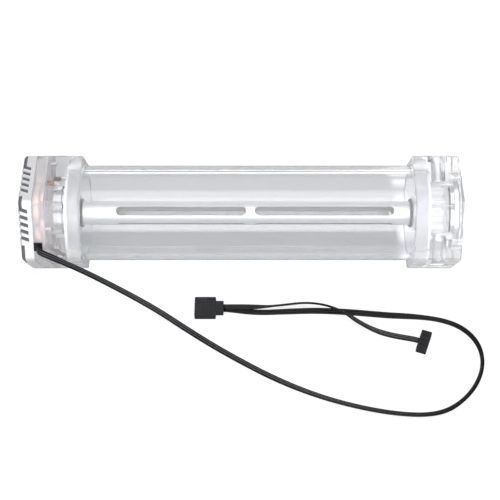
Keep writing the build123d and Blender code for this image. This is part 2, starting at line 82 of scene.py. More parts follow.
def newMaterial(name):
    material = bpy.data.materials.new(name)
    material.use_nodes = True
    tree = material.node_tree
    tree.nodes.clear()
    output = addNode(tree, "ShaderNodeOutputMaterial")
    return material, tree, output


# Camera: long lens, 52 degrees above the surface, level with the middle of the photograph. Places are
# metres, and the lens and sensor millimetres
camera = {
    "elevation": 52.0,
    "distance": 0.7898,
    "lens": 89.6,
    "sensor": 36.0,
    "aimX": 0.0053,
    "axisRise": 0.0235,  # how far the tube's axis shows above the middle of the picture
    "clipEnd": 20.0,
}


def makeCamera():
    tilt = radians(camera["elevation"])
    towards = Vector((0, -cos(tilt), sin(tilt)))
    up = Vector((0, sin(tilt), cos(tilt)))
    axis = Vector((camera["aimX"], 0, axisHeight * mm))
    data = bpy.data.cameras.new("photoCamera")
    data.lens = camera["lens"]
    data.sensor_width = camera["sensor"]
    data.sensor_fit = "HORIZONTAL"
    data.clip_end = camera["clipEnd"]
    body = bpy.data.objects.new("photoCamera", data)
    body.location = axis + towards * camera["distance"] - up * camera["axisRise"]
    body.rotation_euler = (radians(90) - tilt, 0, 0)
    scene.collection.objects.link(body)
    scene.camera = body


makeCamera()
print("camera ready")

# The two flat leads: three bonded wires on one smooth route each, as laid in the CAD; millimetres, but for
# the two full lengths, which are metres. Each list of pairs gives a share of a lead's length and the value
# there: turns is the angle of its flat side against the floor, drops is 1 where it sinks to lie on the
# floor, and the last list is the strength of a painted sheen on the webs between its wires, which stands for
# their highlights and is set from place to place along the lead
leads = {
    "wireWidth": 1.3,
    "wireCount": 3,
    "wireRadius": 0.505,  # share of a wire's width, a hair over half so that neighbours bond
    "restRadius": 0.53,  # share of a wire's width from its centre down to the floor it rests on
    "webSheenReach": 0.6,  # cosine beyond which a wire's skin faces its neighbour, and takes the painted sheen of the web
    "ringPoints": 12,
    "routeOrder": 3,
    "routeSteps": 12,
    "steepBelow": 0.3,  # a stretch nearer to upright than this has no level side of its own
    "settleShare": 0.05,  # share of its length in which a lead turns from the grommet's slope to its own
    "floorZ": 2.05,
    "side": 0.35,  # the two leads enter the connector this far to either side of its middle
    "neckLow": 1.35,
    "neckHigh": 2.8,
    "grommetOut": 33.8,
    "grommetShift": -9.9,
    "grommetElevation": 30.0,
    "firstRun": 6.0,
    "smallHalf": 3.2,  # from the small plug's middle to its back
    "smallRun": 8.6,
    "smallTurn": -20.0,
    "mainLength": 0.503,
    "branchLength": 0.127,
    "main": {
        "turns": [(0, 0), (0.22, 5), (0.32, -5), (0.46, -24), (0.55, -29), (0.60, -50), (0.66, -76),
                  (0.74, -84), (0.80, -40), (0.86, -32), (0.95, 0), (1, 0)],
        "drops": [(0, 0), (0.14, 0.2), (0.26, 1), (0.97, 1), (1, 0)],
        "webSheenPaint": [(0, 1), (0.40, 1), (0.54, 0.15), (1, 0.1)],
    },
    "branch": {
        "turns": [(0, 0), (0.10, 0), (0.26, -52), (0.56, -52), (0.70, -25), (0.85, 0), (1, 0)],
        "drops": [(0, 0), (0.16, 0), (0.30, 1), (0.9, 1), (1, 0)],
        "webSheenPaint": [(0, 0.2), (0.5, 0.3), (0.8, 1), (1, 1)],
    },
}


def neckAt(side, height):
    # where a lead enters the back of the connector
    back = round(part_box("connector_shell")[1][0] / mm, 2)
    return (back, middleOf("connector_shell")[1] + side, height)


def mainRoute():
    # from the grommet, down to the floor, out past the port end and back along the tube to the connector
    e = radians(leads["grommetElevation"])
    z = leads["floorZ"]
    out = Vector((0, -cos(e), sin(e)))
    along = Vector((0, sin(e), cos(e)))
    centre = Vector((middleOf("lead_grommet")[0], 0, axisHeight))
    start = centre + out * leads["grommetOut"] + along * leads["grommetShift"]
    neck = neckAt(-leads["side"], leads["neckLow"])
    points = [
        start, start + out * leads["firstRun"],
        (-116.2, -41.3, 41.2), (-107.4, -42.2, 35.6), (-95.8, -43.0, 27.6), (-82.2, -45.0, 18.4),
        (-66.7, -49.6, 10.6), (-50.9, -56.6, 5.2), (-35.0, -66.6, z), (-18.1, -78.8, z), (-0.8, -90.4, z),
        (17.4, -101.6, z), (35.3, -110.8, z), (54.2, -118.5, z), (74.1, -124.3, z), (93.0, -127.9, z),
        (109.7, -128.8, z), (122.3, -126.0, z), (132.9, -118.6, z), (141.2, -108.6, z), (146.4, -97.0, z),
        (147.4, -85.4, z), (144.2, -75.0, z), (136.6, -66.2, z), (125.2, -60.9, z), (110.3, -58.4, z),
        (89.9, -56.9, z), (68.5, -54.5, z), (48.0, -53.2, z), (29.1, -53.6, z), (11.3, -54.4, z),
        (-1.0, neck[1] - 0.9, z), neck,
    ]
    return [Vector(p) * mm for p in points]


def branchRoute():
    # from the connector, over the main lead on two small rises, to the back of the small plug
    z = leads["floorZ"]
    turn = radians(leads["smallTurn"])
    facing = Vector((cos(turn), sin(turn), 0))
    plugBack = Vector(middleOf("small_plug")) - facing * leads["smallHalf"]
    neck = neckAt(leads["side"], leads["neckHigh"])
    points = [
        neck, (-1.0, neck[1], leads["neckHigh"]), (11.6, -51.8, 3.2), (26.0, -49.6, 2.6), (40.6, -48.4, 3.9),
        (53.5, -52.2, 6.3), (64.5, -58.0, 6.6), (73.6, -64.0, 4.3), (83.2, -68.4, 2.4), (92.6, -71.4, z),
        plugBack - facing * leads["smallRun"], plugBack,
    ]
    return [Vector(p) * mm for p in points]


def smoothRoute(points, name):
    # one NURBS spline, read back as a line of close points
    data = bpy.data.curves.new(name, "CURVE")
    data.dimensions = "3D"
    data.resolution_u = leads["routeSteps"]
    spline = data.splines.new("NURBS")
    spline.points.add(len(points) - 1)
    for target, point in zip(spline.points, points):
        target.co = (*point, 1)
    spline.order_u = leads["routeOrder"]
    spline.use_endpoint_u = True
    holder = bpy.data.objects.new(name, data)
    scene.collection.objects.link(holder)
    mesh = bpy.data.meshes.new_from_object(holder)
    line = [v.co.copy() for v in mesh.vertices]
    bpy.data.objects.remove(holder)
    bpy.data.meshes.remove(mesh)
    return line


def turnAt(share, keys):
    # eased value between listed places along a lead
    for (a, low), (b, high) in zip(keys, keys[1:]):
        if share <= b:
            s = (share - a) / (b - a)
            s = s * s * (3 - 2 * s)
            return low + (high - low) * s
    return keys[-1][1]


def wireFaces(sections):
    # the skin of each wire from section to section, closed at both ends
    rows = leads["ringPoints"]
    ring = rows * leads["wireCount"]
    faces = []
    for i in range(sections - 1):
        for wire in range(leads["wireCount"]):
            base = i * ring + wire * rows
            for k in range(rows):
                k2 = (k + 1) % rows
                faces.append((base + k, base + k2, base + ring + k2, base + ring + k))
    for wire in range(leads["wireCount"]):
        first = wire * rows
        last = (sections - 1) * ring + wire * rows
        faces.append([first + k for k in reversed(range(rows))])
        faces.append([last + k for k in range(rows)])
    return faces


def makeLead(name, points, startSide, keys):
    line = smoothRoute(points, name + "Route")
    lengths = [0.0]
    for a, b in zip(line, line[1:]):
        lengths.append(lengths[-1] + (b - a).length)
    total = lengths[-1]
    width = leads["wireWidth"] * mm
    rows = leads["ringPoints"]
    lastWire = leads["wireCount"] - 1
    verts, path, webSheens = [], [], []
    for i, place in enumerate(line):
        share = lengths[i] / total
        before = line[max(i - 1, 0)]
        after = line[min(i + 1, len(line) - 1)]
        along = (after - before).normalized()
        level = Vector((0, 0, 1)).cross(along)
        level = startSide if level.length < leads["steepBelow"] else level.normalized()
        mix = min(share / leads["settleShare"], 1.0) if startSide.length else 1.0
        side = startSide * (1 - mix) + level * mix
        side = (side - along * side.dot(along)).normalized()
        side = Matrix.Rotation(radians(turnAt(share, keys["turns"])), 3, along) @ side
        lift = side.cross(along)
        rest = width * (leads["restRadius"] + abs(side.z) * lastWire / 2)
        middle = place - Vector((0, 0, (leads["floorZ"] * mm - rest) * turnAt(share, keys["drops"])))
        path.append(middle)
        # painted sheen: how strongly the webs between the wires are drawn pale here, for their highlights
        pale = turnAt(share, keys["webSheenPaint"])
        for wire in range(leads["wireCount"]):
            centre = middle + side * (wire - lastWire / 2) * width
            for k in range(rows):
                a = 2 * pi * k / rows
                verts.append(centre + (side * cos(a) + lift * sin(a)) * width * leads["wireRadius"])
                webBefore = wire > 0 and cos(a) < -leads["webSheenReach"]
                webAfter = wire < lastWire and cos(a) > leads["webSheenReach"]
                webSheens.append(pale if webBefore or webAfter else 0.0)
    mesh = bpy.data.meshes.new(name)
    mesh.from_pydata(verts, [], wireFaces(len(line)))
    mesh.polygons.foreach_set("use_smooth", [True] * len(mesh.polygons))
    mesh.attributes.new("webSheen", "FLOAT", "POINT").data.foreach_set("value", webSheens)
    mesh.update()
    piece = bpy.data.objects.new(name, mesh)
    scene.collection.objects.link(piece)
    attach(piece, "reservoir")
    return piece, path, total


def makeLeads():
    e = radians(leads["grommetElevation"])
    acrossFlat = Vector((0, sin(e), cos(e)))
    points = mainRoute()
    piece, path, total = makeLead("mainLead", points, acrossFlat, leads["main"])
    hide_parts("main_lead")
    print("main lead", round(total, 4))
    points = branchRoute()
    branch, path, total = makeLead("branchLead", points, Vector((0, 0, 0)), leads["branch"])
    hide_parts("branch_lead")
    print("branch lead", round(total, 4))
    return piece, branch


mainLead, branchLead = makeLeads()
print("leads ready")

# What all finishes share: noise seldom leaves its middle range, and no bump is over 0.2 mm high
skin = {"noiseLow": 0.3, "noiseHigh": 0.7, "bumpHeight": 0.2}


def wear(tree, source, patch, detail, low, high):
    # soft patches, patch millimetres across, and the same spread between two roughness values
    noise = addNode(tree, "ShaderNodeTexNoise", {"Scale": perMetre(patch), "Detail": detail},
                    {"Vector": source})
    spread = addNode(tree, "ShaderNodeMapRange", {"From Min": skin["noiseLow"], "From Max": skin["noiseHigh"],
                                                  "To Min": low, "To Max": high},
                     {"Value": noise.outputs["Fac"]})
    return noise.outputs["Fac"], spread.outputs["Result"]


def drawnGrain(tree, source, sizes, detail):
    # grain whose sizes along x, y and z are in millimetres
    stretch = addNode(tree, "ShaderNodeMapping", {"Scale": [perMetre(size) for size in sizes]},
                      {"Vector": source})
    grain = addNode(tree, "ShaderNodeTexNoise", {"Scale": 1.0, "Detail": detail},
                    {"Vector": stretch.outputs[0]})
    return grain.outputs["Fac"]


def axisDistance(tree, source):
    # distance from the tube's axis, in metres
    moved = addNode(tree, "ShaderNodeVectorMath", {"operation": "SUBTRACT", 1: (0, 0, axisHeight * mm)},
                    {0: source})
    flat = addNode(tree, "ShaderNodeVectorMath", {"operation": "MULTIPLY", 1: (0, 1, 1)},
                   {0: moved.outputs[0]})
    length = addNode(tree, "ShaderNodeVectorMath", {"operation": "LENGTH"}, {0: flat.outputs[0]})
    return length.outputs["Value"]


# Acrylic, water white: extruded for the tube, milled from block for the ends, cast for the light plate.
# polish is the roughness of its skin, haze the share of milky scatter in it, lines the die's drawn lines
# with their sizes in millimetres, and frost the radius, reach and roughness of the walls a tool has turned.
# The plate's index is set low, since its milky skin gives the eye little reflection
acrylic = {
    "tube": {"colour": "#F8F9FB", "ior": 1.491, "polish": 0.012, "haze": 0.05, "lines": (33.3, 0.5, 0.5)},
    "block": {"colour": "#FAFBFC", "ior": 1.49, "polish": 0.02, "haze": 0.16, "frost": (30.1, 0.3, 0.35)},
    "plate": {"colour": "#FBFAFC", "ior": 1.40, "polish": 0.04, "haze": 0.52},
    "hazeColour": "#FBFAFC",
    "shadowColour": "#F4F6F7",
    "patch": 16.7,
    "patchDetail": 3.0,
    "polishWorst": 2.5,  # times the polish, where it is most worn
    "hazeSpread": 0.2,
    "lineDetail": 2.0,
    "lineBump": 0.02,
    "scatterBack": 0.5,  # share of the scattered light that goes on through
}


def makeAcrylic(name, look):
    # the eye gets sharp edges, thin grey rims and milky walls where a tool has turned the sockets
    material, tree, output = newMaterial(name)
    source = addNode(tree, "ShaderNodeTexCoord").outputs["Object"]
    worst = look["polish"] * acrylic["polishWorst"]
    patches, polish = wear(tree, source, acrylic["patch"], acrylic["patchDetail"], look["polish"], worst)
    shader = addNode(tree, "ShaderNodeBsdfPrincipled", {"Base Color": hexColour(look["colour"]),
                                                        "Transmission Weight": 1.0, "IOR": look["ior"]})
    haze = addNode(tree, "ShaderNodeMapRange", {"To Min": look["haze"] * (1 - acrylic["hazeSpread"]),
                                                "To Max": look["haze"] * (1 + acrylic["hazeSpread"])},
                   {"Value": patches})
    if "frost" in look:
        radius, reach, frosted = look["frost"]
        wall = addNode(tree, "ShaderNodeMath", {"operation": "COMPARE", 1: radius * mm, 2: reach * mm},
                       {0: axisDistance(tree, source)})
        blend = addNode(tree, "ShaderNodeMix", {"data_type": "FLOAT", 3: frosted},
                        {0: wall.outputs[0], 2: polish})
        polish = blend.outputs[0]
    tree.links.new(polish, shader.inputs["Roughness"])
    if "lines" in look:
        lines = drawnGrain(tree, source, look["lines"], acrylic["lineDetail"])
        bump = addNode(tree, "ShaderNodeBump",
                       {"Strength": acrylic["lineBump"], "Distance": skin["bumpHeight"] * mm},
                       {"Height": lines})
        tree.links.new(bump.outputs[0], shader.inputs["Normal"])
    lit = addNode(tree, "ShaderNodeBsdfDiffuse", {"Color": hexColour(acrylic["hazeColour"])})
    glow = addNode(tree, "ShaderNodeBsdfTranslucent", {"Color": hexColour(acrylic["hazeColour"])})
    milk = addNode(tree, "ShaderNodeMixShader", {0: acrylic["scatterBack"]},
                   {1: lit.outputs[0], 2: glow.outputs[0]})
    body = addNode(tree, "ShaderNodeMixShader", None,
                   {0: haze.outputs["Result"], 1: shader.outputs[0], 2: milk.outputs[0]})
    path = addNode(tree, "ShaderNodeLightPath")
    clear = addNode(tree, "ShaderNodeBsdfTransparent", {"Color": hexColour(acrylic["shadowColour"])})
    mix = addNode(tree, "ShaderNodeMixShader", None,
                  {0: path.outputs["Is Shadow Ray"], 1: body.outputs[0], 2: clear.outputs[0]})
    tree.links.new(mix.outputs[0], output.inputs["Surface"])
    return material


# Metals: anodised aluminium for the cover, tube, nut and plug, zinc-plated steel for the screws, brass for
# the inserts and tinned bronze for the contacts. grain gives its sizes in millimetres along x, y and z,
# rings and thread their pitch, the thread's also for the painted shade in its roots, the bore's radii and the
# painted shade within each, and land a place, its half width and tone. Blasted and brushed grain is finer
# than
# this on the real parts: it is drawn coarse enough to show.
# The cover and the tube are less than fully metallic, which stands for the milky skin of a silver anodise
metal = {
    "cover": {"colour": "#F3F3F5", "rough": (0.42, 0.52), "grain": (1.11, 1.11, 1.11), "bump": 0.05,
              "metallic": 0.45},
    "tube": {"colour": "#C6C7C9", "rough": (0.38, 0.46), "grain": (25.0, 0.4, 0.4), "bump": 0.02,
             "metallic": 0.8, "boreShade": ((7.4, "#3A3B3E"), (6.05, "#96989C"))},
    "nut": {"colour": "#BCBDC1", "rough": (0.30, 0.40), "grain": (0.556, 16.7, 16.7), "bump": 0.05},
    "plug": {"colour": "#D2D3D6", "rough": (0.20, 0.32), "rings": 0.25, "bump": 0.03,
             "land": (129.0, 0.55, "#060708")},
    "screw": {"colour": "#7A7B80", "rough": (0.28, 0.46), "grain": (1.67, 1.67, 1.67), "bump": 0.08,
              "thread": 0.8},
    "brass": {"colour": "#C7975A", "rough": (0.22, 0.38), "grain": (2.0, 0.667, 0.667), "bump": 0.10,
              "thread": 0.8},
    "contact": {"colour": "#C9C4B4", "rough": (0.25, 0.40), "grain": (1.25, 1.25, 1.25), "bump": 0.04},
    "patch": 22.2,
    "patchDetail": 4.0,
    "patchShade": 0.93,
    "grainDetail": 3.0,
    "rootReach": 0.6,  # how far up a thread's flank its root's shade fades out
    "rootShade": 0.25,
}


def shadeBore(tree, source, colour, boreShade):
    # painted shade: inside each radius from its axis the tube is drawn in a darker tone, for the little light
    # that reaches in
    distance = axisDistance(tree, source)
    for reach, shade in boreShade:
        inside = addNode(tree, "ShaderNodeMath", {"operation": "LESS_THAN", 1: reach * mm}, {0: distance})
        dim = addNode(tree, "ShaderNodeMix", {"data_type": "RGBA", 7: hexColour(shade)},
                      {0: inside.outputs[0], 6: colour})
        colour = dim.outputs[2]
    return colour


def shadeLand(tree, source, colour, land):
    # a narrow band at the spigot's inner end is drawn near black, and reads as a thin dark arc through the
    # clear block
    place, half, shade = land
    station = addNode(tree, "ShaderNodeSeparateXYZ", None, {0: source})
    inner = addNode(tree, "ShaderNodeMath", {"operation": "COMPARE", 1: place * mm, 2: half * mm},
                    {0: station.outputs["X"]})
    dim = addNode(tree, "ShaderNodeMix", {"data_type": "RGBA", 7: hexColour(shade)},
                  {0: inner.outputs[0], 6: colour})
    return dim.outputs[2]


def shadeThread(tree, source, colour, look):
    # painted shade in the roots of a thread: thin dark lines across it
    station = addNode(tree, "ShaderNodeSeparateXYZ", None, {0: source})
    turns = addNode(tree, "ShaderNodeMath", {"operation": "MULTIPLY", 1: 2 * pi * perMetre(look["thread"])},
                    {0: station.outputs["X"]})
    root = addNode(tree, "ShaderNodeMath", {"operation": "SINE"}, {0: turns.outputs[0]})
    depth = addNode(tree, "ShaderNodeMapRange", {"From Min": 0.0, "From Max": metal["rootReach"]},
                    {"Value": root.outputs[0]})
    shade = hexColour(look["colour"], metal["rootShade"])
    stripe = addNode(tree, "ShaderNodeMix", {"data_type": "RGBA", 7: shade},
                     {0: depth.outputs["Result"], 6: colour})
    return stripe.outputs[2]


def makeMetal(name, look):
    # tone and sheen vary a little over the surface, as an anodised or plated skin does
    material, tree, output = newMaterial(name)
    source = addNode(tree, "ShaderNodeTexCoord").outputs["Object"]
    patches, rough = wear(tree, source, metal["patch"], metal["patchDetail"], *look["rough"])
    worn = hexColour(look["colour"], metal["patchShade"])
    tone = addNode(tree, "ShaderNodeMix", {"data_type": "RGBA", 6: worn, 7: hexColour(look["colour"])},
                   {0: patches})
    colour = tone.outputs[2]
    if "boreShade" in look:
        colour = shadeBore(tree, source, colour, look["boreShade"])
    if "land" in look:
        colour = shadeLand(tree, source, colour, look["land"])
    if "thread" in look:
        colour = shadeThread(tree, source, colour, look)
    shader = addNode(tree, "ShaderNodeBsdfPrincipled", {"Metallic": look.get("metallic", 1.0)},
                     {"Base Color": colour, "Roughness": rough})
    if "rings" in look:
        # the lathe's fine rings round the axis
        turns = 2 * pi * perMetre(look["rings"])
        phase = addNode(tree, "ShaderNodeMath", {"operation": "MULTIPLY", 1: turns},
                        {0: axisDistance(tree, source)})
        height = addNode(tree, "ShaderNodeMath", {"operation": "SINE"}, {0: phase.outputs[0]}).outputs[0]
    else:
        height = drawnGrain(tree, source, look["grain"], metal["grainDetail"])
    bump = addNode(tree, "ShaderNodeBump", {"Strength": look["bump"], "Distance": skin["bumpHeight"] * mm},
                   {"Height": height})
    tree.links.new(bump.outputs[0], shader.inputs["Normal"])
    tree.links.new(shader.outputs[0], output.inputs["Surface"])
    return material


# Plastics, rubbers and a dark sheet of painted shade for the vents, with two tones each and a grain size in
# millimetres. A moulded skin is finer than this: it is drawn coarse enough to show. The vinyl's extra tone is
# a painted sheen on the thin webs that bond a lead's wires, and glow the colour and strength of a low painted
# glow on the lamps, which stands for their pink glints through the plate
polymer = {
    "nitrile": {"colours": ("#0C0C0D", "#171718"), "rough": (0.45, 0.62), "ior": 1.40, "grain": 0.833,
                "bump": 0.10},
    "vinyl": {"colours": ("#060607", "#0D0D0E"), "rough": (0.26, 0.38), "ior": 1.30, "grain": 1.43,
              "bump": 0.05, "webSheen": "#75777D"},
    "shell": {"colours": ("#1B1B1E", "#26262A"), "rough": (0.38, 0.52), "ior": 1.36, "grain": 0.667,
              "bump": 0.12},
    "nylon": {"colours": ("#E6E6E4", "#F2F2F0"), "rough": (0.35, 0.50), "ior": 1.53, "grain": 1.11,
              "bump": 0.06},
    "silicone": {"colours": ("#C9CDD0", "#DDE0E2"), "rough": (0.30, 0.42), "ior": 1.41, "grain": 2.0,
                 "bump": 0.05},
    "board": {"colours": ("#E9E9E4", "#F3F3EF"), "rough": (0.28, 0.40), "ior": 1.50, "grain": 0.714,
              "bump": 0.04, "coat": 0.2},
    "package": {"colours": ("#DB6E58", "#F2A08A"), "rough": (0.25, 0.40), "ior": 1.50, "grain": 1.11,
                "bump": 0.04, "coat": 0.2, "glow": ("#FFCBBE", 1.5)},
    "ventShadeSheet": {"colours": ("#5E6064", "#74767A"), "rough": (0.8, 0.95), "ior": 1.5, "grain": 0.4, "bump": 0.2},
    "patch": 12.5,
    "patchDetail": 4.0,
    "grainDetail": 2.0,
}


def makePolymer(name, look):
    # the two tones and the sheen mottle softly into each other, as in any moulded or extruded piece
    material, tree, output = newMaterial(name)
    source = addNode(tree, "ShaderNodeTexCoord").outputs["Object"]
    patches, rough = wear(tree, source, polymer["patch"], polymer["patchDetail"], *look["rough"])
    low, high = look["colours"]
    tone = addNode(tree, "ShaderNodeMix", {"data_type": "RGBA", 6: hexColour(low), 7: hexColour(high)},
                   {0: patches})
    # painted sheen on the webs between a lead's wires, in the strength that the mesh gives each point
    if "webSheen" in look:
        webSheen = addNode(tree, "ShaderNodeAttribute", {"attribute_name": "webSheen"})
        tone = addNode(tree, "ShaderNodeMix", {"data_type": "RGBA", 7: hexColour(look["webSheen"])},
                       {0: webSheen.outputs["Fac"], 6: tone.outputs[2]})
    grain = addNode(tree, "ShaderNodeTexNoise",
                    {"Scale": perMetre(look["grain"]), "Detail": polymer["grainDetail"]}, {"Vector": source})
    bump = addNode(tree, "ShaderNodeBump", {"Strength": look["bump"], "Distance": skin["bumpHeight"] * mm},
                   {"Height": grain.outputs["Fac"]})
    shader = addNode(tree, "ShaderNodeBsdfPrincipled",
                     {"IOR": look["ior"], "Coat Weight": look.get("coat", 0.0)},
                     {"Base Color": tone.outputs[2], "Roughness": rough, "Normal": bump.outputs[0]})
    # painted glow: a low emission on the lamps stands for their pink glints
    if "glow" in look:
        colour, strength = look["glow"]
        shader.inputs["Emission Color"].default_value = hexColour(colour)
        shader.inputs["Emission Strength"].default_value = strength
    tree.links.new(shader.outputs[0], output.inputs["Surface"])
    return material


tubeAcrylic = makeAcrylic("extrudedAcrylicTube", acrylic["tube"])  # nearly invisible but for its bright rims
blockAcrylic = makeAcrylic("milledAcrylicBlock", acrylic["block"])  # clear, with milky turned walls inside
plateAcrylic = makeAcrylic("castAcrylicPlate", acrylic["plate"])  # milky, so the lamps spread in it
coverMetal = makeMetal("anodisedCover", metal["cover"])  # blasted first: pale and nearly matt
tubeMetal = makeMetal("anodisedTube", metal["tube"])  # brushed along: one long soft highlight, painted shade in the bore
nutMetal = makeMetal("anodisedNut", metal["nut"])  # turned: fine lines and small sharp glints
plugMetal = makeMetal("turnedPlug", metal["plug"])  # bright, with rings that fan a highlight out
screwSteel = makeMetal("zincScrewSteel", metal["screw"])  # plated: dull dark grey, with painted shade in the roots
insertBrass = makeMetal("knurledBrass", metal["brass"])  # knurled: warm spots in the clear block, ribbed by painted shade in the roots
contactMetal = makeMetal("tinnedContact", metal["contact"])  # stamped and tinned: small dull glints
nitrile = makePolymer("nitrileRubber", polymer["nitrile"])  # moulded seals: black with a dull sheen
vinyl = makePolymer("softVinylJacket", polymer["vinyl"])  # extruded: near black with a soft shine, and a painted sheen on the webs between its wires
shellNylon = makePolymer("mouldedConnectorNylon", polymer["shell"])  # fine matt skin, a little greyer
pinNylon = makePolymer("whiteNylonPin", polymer["nylon"])  # moulded: white round spots in the plate
silicone = makePolymer("siliconeSeal", polymer["silicone"])  # moulded pale seals that show as grey rings
boardMask = makePolymer("whiteBoardMask", polymer["board"])  # printed white mask with a thin gloss
lampPackage = makePolymer("lampPackage", polymer["package"])  # moulded epoxy, with a low painted glow that stands for its pink glints
ventShadeSheet = makePolymer("paintedVentShade", polymer["ventShadeSheet"])  # painted shade: a dark matt sheet that makes the slots read as shadowed

finishes = {
    "reservoir_tube": tubeAcrylic, "lamp_end_block": blockAcrylic, "port_end_block": blockAcrylic,
    "light_plate": plateAcrylic, "vented_cover": coverMetal, "distribution_tube": tubeMetal,
    "tie_nut": nutMetal, "fill_plug": plugMetal, "fill_plug_seal": nitrile, "lamp_gland_seal": nitrile,
    "port_gland_seal": nitrile, "lamp_face_seal": silicone, "port_face_seal": silicone,
    "lamp_board": boardMask, "lamp_chips": lampPackage, "board_screws": screwSteel,
    "cover_screws": screwSteel, "thread_inserts": insertBrass,
    "locating_pins": pinNylon, "lead_grommet": nitrile, "wire_ends": vinyl, "main_lead": vinyl,
    "branch_lead": vinyl, "small_plug": shellNylon, "small_plug_contacts": contactMetal,
    "connector_shell": shellNylon, "connector_contacts": contactMetal,
}
for nodeName, finish in finishes.items():
    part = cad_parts[nodeName]
    if not part.material_slots:
        part.data.materials.append(finish)
    for slot in part.material_slots:
        slot.material = finish
for lead in (mainLead, branchLead):
    lead.data.materials.append(vinyl)
print("finishes ready")

# The hexagonal cover, in millimetres, and its first flat's elevation from the front. The part lies on a
# flat of its hexagons, so the axis is as high as each flat is far from it
hexagon = {
    "apothem": axisHeight,
    "side": 38.34,
    "corner": 3.5,
    "leastCorner": 0.3,
    "firstFlat": 30.0,
    "coverX": round(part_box("vented_cover")[0][0] / mm, 2),
}


def hexRadius(elevation, inset):
    # distance from the axis to the rounded hexagon, set in by inset, at an elevation from the front
    flat = hexagon["apothem"] - inset
    turn = (elevation - hexagon["firstFlat"] + 30) % 60 - 30
    corner = max(hexagon["corner"] - inset, hexagon["leastCorner"])
    fromVertex = radians(30 - abs(turn))
    centre = (flat - corner) / cos(radians(30))
    straight = flat / cos(radians(turn))
    if sin(fromVertex) * centre >= corner:
        return straight
    rounded = centre * cos(fromVertex) + sqrt(corner ** 2 - (centre * sin(fromVertex)) ** 2)
    return min(straight, rounded)


def atElevation(x, radius, elevation):
    # the point at that radius round the axis, with x and the radius in millimetres
    e = radians(elevation)
    return Vector((x, -radius * cos(e), axisHeight + radius * sin(e))) * mm


def newPiece(name, verts, faces, material, smooth=False, body="reservoir"):
    mesh = bpy.data.meshes.new(name)
    mesh.from_pydata(verts, [], faces)
    mesh.update()
    if smooth:
        mesh.polygons.foreach_set("use_smooth", [True] * len(mesh.polygons))
    mesh.materials.append(material)
    piece = bpy.data.objects.new(name, mesh)
    scene.collection.objects.link(piece)
    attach(piece, body)
    return piece


# Dark sheets of painted shade behind the cover's vents and in the rebates round its corners, in millimetres
vents = {
    "perFlat": 5,
    "width": 2.5,
    "length": 5.6,
    "slant": 1.1,
    "runOut": 0.5,  # each vent's slant starts this far outside the cover's face
    "edge": 0.9,  # from the cover's face to where the painted shade starts
    "thick": 0.6,
    "sunk": 0.8,
    "shortReach": 5.2,  # from a corner to where the vents stop, at every other corner
    "longReach": 10.2,
    "barWidth": 2.6,
    "barDepth": 2.2,
    "barSunk": 0.3,
    "barEdge": 0.3,
    "barChamfer": 1.3,
    "barGap": 0.05,
    "barEndGap": 0.4,  # degrees
    "barRows": 14,
}


def addVentStrips(verts, faces):
    # five slanted strips of painted shade behind the vents of each flat
    rise = 2 * vents["slant"] / (vents["length"] + vents["runOut"])
    for flat in range(6):
        e = radians(hexagon["firstFlat"] + 60 * flat)
        out = Vector((0, -cos(e), sin(e)))
        along = Vector((0, sin(e), cos(e)))
        upper = vents["shortReach"] if flat % 2 == 0 else vents["longReach"]
        lower = vents["longReach"] if flat % 2 == 0 else vents["shortReach"]
        pitch = (hexagon["side"] - upper - lower) / vents["perFlat"]
        for vent in range(vents["perFlat"]):
            middle = hexagon["side"] / 2 - upper - vent * pitch
            base = len(verts)
            for depth in (vents["sunk"], vents["sunk"] + vents["thick"]):
                for u, side in ((vents["edge"], 0.5), (vents["length"], 0.5),
                                (vents["length"], -0.5), (vents["edge"], -0.5)):
                    v = middle + vents["slant"] - rise * (u + vents["runOut"]) + side * vents["width"]
                    centre = Vector((hexagon["coverX"] + u, 0, axisHeight))
                    verts.append((centre + out * (hexagon["apothem"] - depth) + along * v) * mm)
            faces += [(base, base + 1, base + 2, base + 3), (base + 7, base + 6, base + 5, base + 4)]
            faces += [(base + k, base + 4 + k, base + 4 + (k + 1) % 4, base + (k + 1) % 4) for k in range(4)]


def addCornerBars(verts, faces):
    # one bar of painted shade bent round each corner, between the ends of its two rebates
    rows = vents["barRows"]
    inner = vents["barWidth"] - vents["barGap"]
    deep = vents["barDepth"] - vents["barGap"]
    section = ((vents["barEdge"], vents["barChamfer"]), (vents["barChamfer"], vents["barSunk"]),
               (inner, vents["barSunk"]), (inner, deep), (vents["barEdge"], deep))
    count = len(section)
    for corner in range(6):
        vertex = 60 + 60 * corner
        reach = vents["shortReach"] if corner % 2 == 0 else vents["longReach"]
        span = 30 - degrees(atan((hexagon["side"] / 2 - reach) / hexagon["apothem"])) - vents["barEndGap"]
        base = len(verts)
        for row in range(rows + 1):
            at = vertex - span + 2 * span * row / rows
            for u, inset in section:
                verts.append(atElevation(hexagon["coverX"] + u, hexRadius(at, inset), at))
        for row in range(rows):
            for k in range(count):
                a = base + row * count + k
                b = base + row * count + (k + 1) % count
                faces.append((a, b, b + count, a + count))
        faces.append([base + k for k in reversed(range(count))])
        faces.append([base + rows * count + k for k in range(count)])


def makeVentShade():
    verts, faces = [], []
    addVentStrips(verts, faces)
    addCornerBars(verts, faces)
    newPiece("ventShadeSheets", verts, faces, ventShadeSheet)


# Moulded seal rings with a truly round section: diameters to the middle of the section, in millimetres
rings = {"glandDiameter": 16.86, "plugDiameter": 29.5, "thick": 1.78, "turns": 96, "rows": 16}


